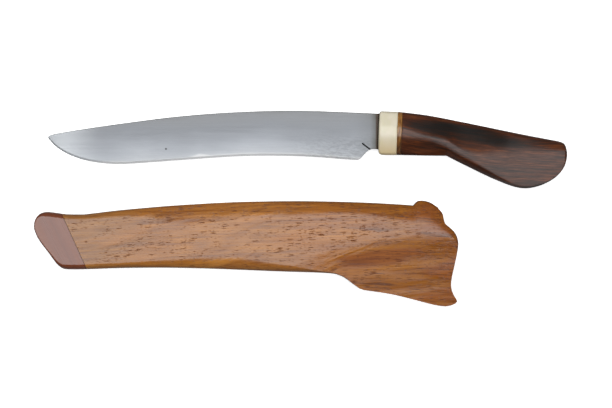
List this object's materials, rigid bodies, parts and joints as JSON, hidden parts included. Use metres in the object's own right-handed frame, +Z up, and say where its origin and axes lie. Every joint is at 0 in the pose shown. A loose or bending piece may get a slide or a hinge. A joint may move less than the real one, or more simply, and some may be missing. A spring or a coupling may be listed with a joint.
{
  "type": "curved field knife with wooden scabbard",
  "caption": "Long curved wedge-section knife with a bone bolster and a drooping rosewood grip, laid beside its carved two-part wooden scabbard with a pegged toe cap.",
  "frame": {"origin": "middle of the set's footprint, on the surface that the knife and scabbard lie on", "axes": "+X along the set from blade tip and scabbard toe to the pommel, +Y from the scabbard towards the knife's spine, +Z up, out of the near faces"},
  "size_m": [0.4154, 0.1526, 0.0302],
  "materials": {
    "steel": "satin, fine scratches along the blade",
    "resin": "dark natural resin",
    "bone": "polished cream bone",
    "horn": "polished amber horn",
    "rosewood": "oiled and polished dark rosewood",
    "teak": "varnished golden-brown open-pored wood",
    "redwood": "polished dark red-brown wood",
    "peg": "bare turned peg"
  },
  "bodies": {
    "scabbard": {"scabbard_front": "teak", "scabbard_back": "teak", "toe_cap": "redwood", "toe_peg_upper": "peg", "toe_peg_lower": "peg"},
    "knife": {"blade": "steel", "tang_resin": "resin", "bolster": "bone", "spacer_ring": "horn", "handle": "rosewood"}
  },
  "joints": [
    {"name": "knife_lift", "type": "slide", "parent": "scabbard", "child": "knife", "axis": [0, 0, 1], "range_m": [0, 0.15]}
  ]
}
